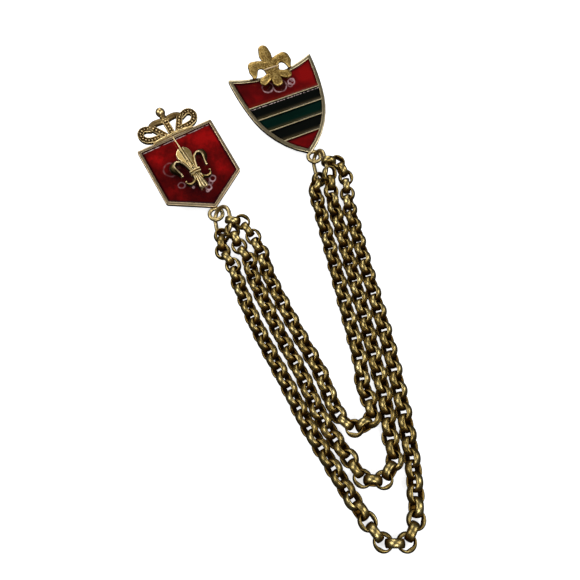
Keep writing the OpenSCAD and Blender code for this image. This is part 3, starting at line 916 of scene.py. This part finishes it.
def curl_wall(rows, side, low):
    """A thin raised wall with a slope on its outer side."""
    rows = spline([(side * x, y, slope, top) for x, y, slope, top in rows])
    rings = []
    for k, (x, y, slope, top) in enumerate(rows):
        out = side * left_of(rows, k)
        section = [(-0.2, low), (-0.2, top - 0.1), (-0.13, top), (0.1, top + 0.03), (0.2, top - 0.08),
                   (0.28, top - 0.3), (0.3 + 0.3 * slope, top * 0.72), (0.3 + 0.65 * slope, top * 0.6),
                   (0.3 + 0.92 * slope, top * 0.35), (0.3 + slope, low + 0.2), (0.3 + slope * 0.96, low)]
        rings.append([(x + out[0] * a, y + out[1] * a, z) for a, z in section])
    return loft(rings)


def raised_side(side):
    """A hook beside the petal and a curl beside the foot, each with a bead at its end."""
    curl = spline([(side * x, y, RAISED_LOW, w, h) for x, y, w, h in CURL])
    return [curl_wall(HOOK, side, RAISED_LOW), ball((side * 3.95, 12.3, 0.95), 0.4, (1, 1, 1.1)),
            band(curl, CURL_SECTION), ball((side * 3.9, 10.35, 0.95), 0.34, sides=14)]


def raised_shade(co):
    """Painted shade: the curls darken down their slopes; the petal and the foot stay lighter."""
    curls = np.where(np.abs(co[:, 0]) > 1.25 + 0.4 * np.clip(co[:, 1] - 14.5, 0, 3.2), 1.15, 0.12)
    rod = np.where((np.abs(co[:, 0]) < 0.3) & (co[:, 1] > 12.6), 0.35, 0.0)
    return np.clip((1.5 - co[:, 2]) / 0.4, 0, 1) * curls + rod - 0.1


def crowned_fleur(material):
    low = RAISED_LOW
    collar = spline([(-1.6, 11.8, low, 1, 1), (0, 11.95, low, 1, 1.05), (1.6, 11.8, low, 1, 1)], 6)
    parts = [petal(), tube(spline(ROD, 6), 0.22, 14), band(collar, COLLAR_SECTION), ribbed_foot()]
    parts += raised_side(-1) + raised_side(1)
    mesh = cast("raised_fleur", parts, RAISED_VOXEL, CROWNED @ RAISED_LEAN, raised_shade)
    finish_piece("raised_fleur", mesh, material, "crowned_fleur")


# pointed shield

def divider(y):
    """A wall across the pointed shield, from rim to rim."""
    half = DIVIDER_W / 2
    section = both_sides([(-half, PLATE_TOP), (-half, -0.22), (-half * 0.7, -0.1), (-half * 0.3, -0.02)])
    return loft([[(side * side_x(y + off, POINTED_RIM * 0.6), y + off, z) for off, z in section]
                 for side in (-1, 1)])


def pointed_shell(material, wire):
    parts = [shell(pointed_round_ring, POINTED_RIM, 0.09)] + [divider(y) for y in DIVIDERS]
    mesh = mesh_from("pointed_shell", parts, POINTED, 40)
    paint_low_shade(mesh, parts, -0.04, 0.22)
    finish_piece("pointed_shell", mesh, material, "pointed_frame")
    mesh = mesh_from("pointed_loop", [hanging_loop((0.5, -1.3), POINTED_RISE)], POINTED)
    paint_side_shade(mesh)
    finish_piece("pointed_loop", mesh, wire, "pointed_frame")


def pointed_field(name, node, low, high, material):
    """The field between two heights; None stands for the shield's own tip or top edge."""
    steps = 8 if low is None else 12 if high is None else 6

    def ring(by):
        inner = by + POINTED_RIM - SEAT
        bottom = None if low is None else low - inner + by
        top = None if high is None else high + inner - by
        return pointed_ring(inner, bottom, top, steps)

    field(name, ring, POINTED, material, node, low or 0.0)


# flat fleur: bars; columns: x, y, end x, end y, width, end width
MIDDLE_BARS = [(0, 31.2, 0, 34.6, 3.1, 3.9), (0, 34.6, 0.2, 36.6, 4.0, 3.2),
               (0, 30.3, 0, 27.7, 4.6, 4.59), (0, 27.6, 0, 24.85, 2.8, 3.2)]
SIDE_BARS = [(0.9, 31.5, 3.4, 32.2, 2.4, 2.7), (3.4, 32.2, 5.0, 32.1, 2.75, 3.5),
             (1.4, 27.5, 3.9, 26.25, 2.3, 2.7)]
RIGHT_TIP = [(5.1, 32.1, 5.7, 30.7, 3.65, 2.65), (5.7, 30.7, 5.6, 29.2, 2.6, 1.4),
             (5.6, 29.2, 5.55, 28.55, 1.35, 1.2)]
LEFT_TIP = [(5.0, 32.1, 5.65, 30.6, 3.4, 2.7), (5.65, 30.6, 5.8, 29.2, 2.7, 1.7),
            (5.8, 29.2, 6.1, 28.6, 1.5, 1.3)]
FLAT_X = -0.15
FLAT_LOW = 0.95
FLAT_TOP = FLAT_LOW + 0.8
FLAT_VOXEL = 0.07
# rows: part of the radius taken off and height
BAR_LEVELS = [(0.1, FLAT_LOW), (0.03, FLAT_LOW + 0.05), (0.0, FLAT_LOW + 0.15),
              (0.0, FLAT_LOW + 0.45), (0.05, FLAT_LOW + 0.62), (0.15, FLAT_TOP - 0.06),
              (0.35, FLAT_TOP + 0.02), (0.65, FLAT_TOP + 0.09), (0.9, FLAT_TOP + 0.11)]
HOLE_SECTION = both_sides([(-0.5, 0.0), (-0.55, 0.4), (-0.45, 0.7), (0.0, 0.85)])
CLASP_SECTION = both_sides([(-0.26, -0.3), (-0.26, 0.2), (-0.14, 0.3)])
# columns: y, radius, height of the lower end
STUDS = [(28.05, 0.45, 0.05), (25.4, 0.8, 0.05 - ENAMEL_DROP)]


def flat_shade(co):
    """Painted shade: its edges and the hollows between its leaves are darker."""
    return np.clip((FLAT_TOP - 0.02 - co[:, 2]) / 0.3, 0, 1) * 0.5


def pointed_fleur(material, bright):
    left_bars = [(-x, y, -end_x, *others) for x, y, end_x, *others in SIDE_BARS + LEFT_TIP]
    parts = [domed_bar(row, BAR_LEVELS) for row in MIDDLE_BARS + SIDE_BARS + RIGHT_TIP + left_bars]
    for side in (-1, 1):
        edge = [(side * x, y, FLAT_LOW, 1.0, 1.0) for x, y in arc((3.65, 29.45), 1.85, 15, 190, 16)]
        parts.append(band(edge, HOLE_SECTION))
    for y, radius, down in STUDS:
        outline = arc((0, y), radius, 0, 345, 23)
        parts.append(loft([at_height(outline, z) for z in (down, FLAT_LOW + 0.3)]))
    place = POINTED @ Matrix.Translation((FLAT_X, 0, 0))
    mesh = cast("flat_fleur", parts, FLAT_VOXEL, place, flat_shade)
    finish_piece("flat_fleur", mesh, material, "pointed_fleur")
    top = FLAT_TOP
    clasp = spline([(-2.5, 29.62, top, 0.8, 1), (0, 29.62, top, 1, 1.1), (2.5, 29.62, top, 0.8, 1)], 6)
    mesh = mesh_from("fleur_collar", [band(clasp, CLASP_SECTION)], place, 50)
    finish_piece("fleur_collar", mesh, bright, "pointed_fleur")


# chains

def link_places(node):
    """Centre and axis of each ring in a chain of the CAD model."""
    bm = bmesh.new()
    bm.from_mesh(nodes[node].data)
    bmesh.ops.remove_doubles(bm, verts=bm.verts, dist=WELD)
    bm.verts.ensure_lookup_table()
    seen = np.zeros(len(bm.verts), bool)
    places = []
    for start in bm.verts:
        if seen[start.index]:
            continue
        seen[start.index] = True
        queue, faces = [start], set()
        while queue:
            v = queue.pop()
            for face in v.link_faces:
                faces.add(face)
            for edge in v.link_edges:
                other = edge.other_vert(v)
                if not seen[other.index]:
                    seen[other.index] = True
                    queue.append(other)
        areas = np.array([f.calc_area() for f in faces])
        middles = np.array([f.calc_center_median()[:] for f in faces])
        centre = (middles * areas[:, None]).sum(0) / areas.sum()
        rel = middles - centre
        values, vectors = np.linalg.eigh((rel * areas[:, None]).T @ rel)
        axis = vectors[:, 0]
        places.append((centre / MM, axis if axis[2] >= 0 else -axis))
    bm.free()
    return places


def link_profile():
    """Rows of a link's section: radius, height and how much patina and painted shade it gets."""
    inner, outer, half = LINK_R - LINK_WALL, LINK_R, LINK_HALF
    one = [(inner, 0.5 * half, 0.9), (inner + 0.02, 0.8 * half, 0.8), (inner + 0.07, 0.94 * half, 0.6),
           (inner + 0.15, half, 0.35), (outer - 0.3, half, 0.2), (outer - 0.21, 0.93 * half, 0.18),
           (outer - 0.13, 0.79 * half, 0.16), (outer - 0.06, 0.56 * half, 0.12),
           (outer - 0.015, 0.28 * half, 0.1)]
    other = [(r, -z, shade_and_patina) for r, z, shade_and_patina in reversed(one)]
    return one + [(outer, 0.0, 0.1)] + other + [(inner, 0.0, 0.9)]


def link_runs(centres, gaps):
    """Direction of the strand at each link, from its two nearest neighbours, or from one at its end."""
    runs = []
    for k, (first, second) in enumerate(np.argsort(gaps, axis=1)[:, 1:3]):
        run = centres[first] - (centres[second] if gaps[k][second] < LINK_NEXT else centres[k])
        runs.append(unit(run) * (1 if run[1] > 0 else -1))
    return runs


def link_points(axis, run, profile):
    """A link's points about its middle: a ring with thicker flanks, turned and stretched along the strand
    where it runs straight."""
    radii, heights = profile[:, 0], profile[:, 1]
    straight = float(np.clip((run[1] - STRAND_BENT) / (STRAND_STRAIGHT - STRAND_BENT), 0, 1))
    roll = math.radians(LINK_ROLL * straight)
    axis = np.array(Matrix.Rotation(roll, 3, Vector(run)) @ Vector(axis))
    side = unit(np.cross(axis, OFF_AXIS))
    other = np.cross(axis, side)
    angles = round_angles(LINK_SIDES)[:, None]
    around = np.cos(angles) * side + np.sin(angles) * other
    flank = 1 - (around @ unit(run - axis * (run @ axis))) ** 2
    thick = np.clip((LINK_R - radii) / LINK_WALL, 0, 1) * LINK_FLANK
    width = radii[None, :] - flank[:, None] ** 2 * thick[None, :]
    points = (around[:, None, :] * width[:, :, None] + axis * heights[None, :, None]).reshape(-1, 3)
    return points + LINK_STRETCH * straight * (points @ run)[:, None] * run


def chain(name, node, material, seed):
    profile = np.array(link_profile())
    count = len(profile)
    places = link_places(node)
    centres = np.array([c for c, _ in places])
    gaps = np.linalg.norm(centres[:, None] - centres[None], axis=2)
    runs = link_runs(centres, gaps)
    tones = np.random.default_rng(seed).random(len(places))
    points, faces, patina_and_shade, tone = [], [], [], []
    for k, (centre, axis) in enumerate(places):
        ring = centre + link_points(axis, runs[k], profile)
        inside = np.zeros(len(ring))
        # painted shade on the metal of a link that lies inside a neighbour's eye
        for j in np.flatnonzero(gaps[k] < LINK_TOUCH):
            if j != k:
                reach = np.linalg.norm(ring - centres[j], axis=1)
                inside = np.maximum(inside, np.clip((LINK_R - reach) / INSIDE_DEPTH, 0, 1))
        base = len(points)
        points += list(ring)
        patina_and_shade += list(np.clip(np.tile(profile[:, 2], LINK_SIDES) + inside * INSIDE_SHADE, 0, 1))
        tone += [tones[k]] * len(ring)
        for s in range(LINK_SIDES):
            a, b = base + s * count, base + ((s + 1) % LINK_SIDES) * count
            faces += [(a + i, b + i, b + (i + 1) % count, a + (i + 1) % count) for i in range(count)]
    mesh = mesh_from(name, [(points, faces)], Matrix.Scale(MM, 4))
    store(mesh, "patina_and_shade", patina_and_shade)
    store(mesh, "tone", tone)
    finish_piece(name, mesh, material, node)


add_camera()
add_stage()

# colours where the metal is rubbed, between, and where patina and painted shade lie; then shine, dull and the
# weight of patina and painted shade
chain_gold = gold("chain_gold", (0.6, 0.48, 0.205), (0.26, 0.185, 0.058), (0.125, 0.058, 0.008),
                  0.31, 0.44, 1.0, wear=0.02, speckle=0.04)
ring_gold = gold("ring_gold", (0.62, 0.48, 0.22), (0.30, 0.20, 0.07), (0.05, 0.03, 0.01),
                 0.38, 0.5, 1.0, wear=0.02, speckle=0.03)
rim_gold = gold("rim_gold", (0.56, 0.42, 0.25), (0.37, 0.252, 0.125), (0.08, 0.05, 0.02), 0.32, 0.5, 0.9)
side_gold = gold("side_gold", (0.46, 0.38, 0.23), (0.25, 0.19, 0.09), (0.07, 0.05, 0.02), 0.3, 0.5, 0.9)
cast_gold = gold("cast_gold", (0.92, 0.74, 0.40), (0.48, 0.34, 0.13), (0.04, 0.028, 0.01),
                 0.32, 0.5, 1.15, wear=0.1, speckle=0.06)
crown_gold = gold("crown_gold", (0.8, 0.6, 0.29), (0.33, 0.225, 0.085), (0.07, 0.038, 0.013),
                  0.32, 0.55, 1.05, wear=0.2)
satin_gold = gold("satin_gold", (0.56, 0.385, 0.125), (0.20, 0.118, 0.028), (0.045, 0.022, 0.006),
                  0.4, 0.6, 1.05, grain=1.6, speckle=0.36)

# columns: x, y, radius, strength
LEFT_LOOPS = [(3.5, 8.3, 0.85, 0.95), (2.3, 7.3, 0.45, 0.6), (1.1, 6.4, 0.85, 0.95), (0.4, 5.6, 0.4, 0.7),
              (-5.9, 16.0, 2.1, 0.16), (-5.5, 10.3, 0.9, 0.28), (-2.7, 8.3, 0.15, 0.7)]
# in the shades, the first row is painted shade around the raised fleur; the others darken or lighten places
LEFT_SHADES = [(-0.6, 12.0, 8.0, 0.34), (0.5, 4.5, 6.0, 0.2), (-7.5, 20.3, 3.6, -0.22),
               (8.2, 19.8, 4.4, -0.26), (7.6, 9.8, 3.0, -0.14), (-10.2, 10.0, 2.6, -0.14)]
RIGHT_LOOPS = [(4.4, 24.3, 1.0, 0.9), (3.5, 23.4, 0.6, 0.8), (4.9, 24.9, 0.5, 0.6)]
# in the shades, the first row is painted shade around the flat fleur; the others darken or lighten places
RIGHT_SHADES = [(0.0, 26.0, 6.5, 0.4), (-11.0, 25.5, 3.5, 0.15), (9.0, 25.0, 3.0, -0.2)]
RIGHT_SCALLOPS = [(-3.4, 25.1, 1.75), (0.4, 24.3, 2.15)]

red = enamel("red_enamel",
             [(0.0, (0.28, 0.003, 0.003)), (0.25, (0.148, 0.002, 0.002)), (0.55, (0.063, 0.001, 0.001)),
              (1.0, (0.018, 0.0, 0.001))],
             220.0, ((0.0, -14.0, 0.0), 0.58), LEFT_SHADES, glint=(23.85, -11.0, 10.8, 650.0),
             loops=LEFT_LOOPS)
chief_red = enamel("chief_red",
                   [(0.0, (0.215, 0.003, 0.003)), (0.4, (0.1, 0.0015, 0.002)), (1.0, (0.02, 0.001, 0.001))],
                   150.0, ((-14.0, 0.0, 0.0), 0.14), RIGHT_SHADES, painted_reflection=(0.17, 0.014, 0.005),
                   scallops=RIGHT_SCALLOPS, loops=RIGHT_LOOPS)
BLACK_STOPS = [(0.0, (0.002, 0.003, 0.002)), (1.0, (0.001, 0.001, 0.001))]
BLACK_REFLECTION = (0.05, 0.038, 0.016)
black = enamel("black_enamel", BLACK_STOPS, 200.0, painted_reflection=BLACK_REFLECTION)
top_black = enamel("top_black_enamel", BLACK_STOPS, 200.0, painted_reflection=BLACK_REFLECTION,
                   glint=(DIVIDERS[3] - DIVIDER_W / 2 - 0.3, -11.5, 13.0, 1500.0))
green = enamel("green_enamel", [(0.0, (0.0, 0.011, 0.007)), (1.0, (0.0, 0.003, 0.002))], 200.0,
               painted_reflection=(0.04, 0.034, 0.012))

crowned_shell(rim_gold, ring_gold)
crown(crown_gold)
crowned_field(red)
crowned_fleur(cast_gold)
pointed_shell(side_gold, ring_gold)

# each field starts at one dividing wall's upper edge and ends at the next one's lower edge
wall = DIVIDER_W / 2 - SEAT
starts = [y + wall for y in DIVIDERS]
ends = [y - wall for y in DIVIDERS]
pointed_field("red_chief_field", "red_chief_enamel", starts[3], None, chief_red)
pointed_field("upper_black_field", "upper_black_enamel", starts[2], ends[3], top_black)
pointed_field("green_field", "green_enamel", starts[1], ends[2], green)
pointed_field("lower_black_field", "lower_black_enamel", starts[0], ends[1], black)
pointed_field("red_tip_field", "red_tip_enamel", None, ends[0], chief_red)
pointed_fleur(satin_gold, rim_gold)
chain("outer_links", "outer_chain", chain_gold, 5)
chain("middle_links", "middle_chain", chain_gold, 6)
chain("inner_links", "inner_chain", chain_gold, 7)
jump_ring("left_ring", "left_jump_ring", (-18.9, 20.1, 3.1), 12, 11, 48, 3.2, 1.8, ring_gold)
jump_ring("right_ring", "right_jump_ring", (8.9, 39.6, 3.27), 10, 8, 63, 2.9, 3.2, ring_gold)
for name in ("crowned_pin", "pointed_pin"):
    for slot in nodes[name].material_slots:
        slot.material = rim_gold
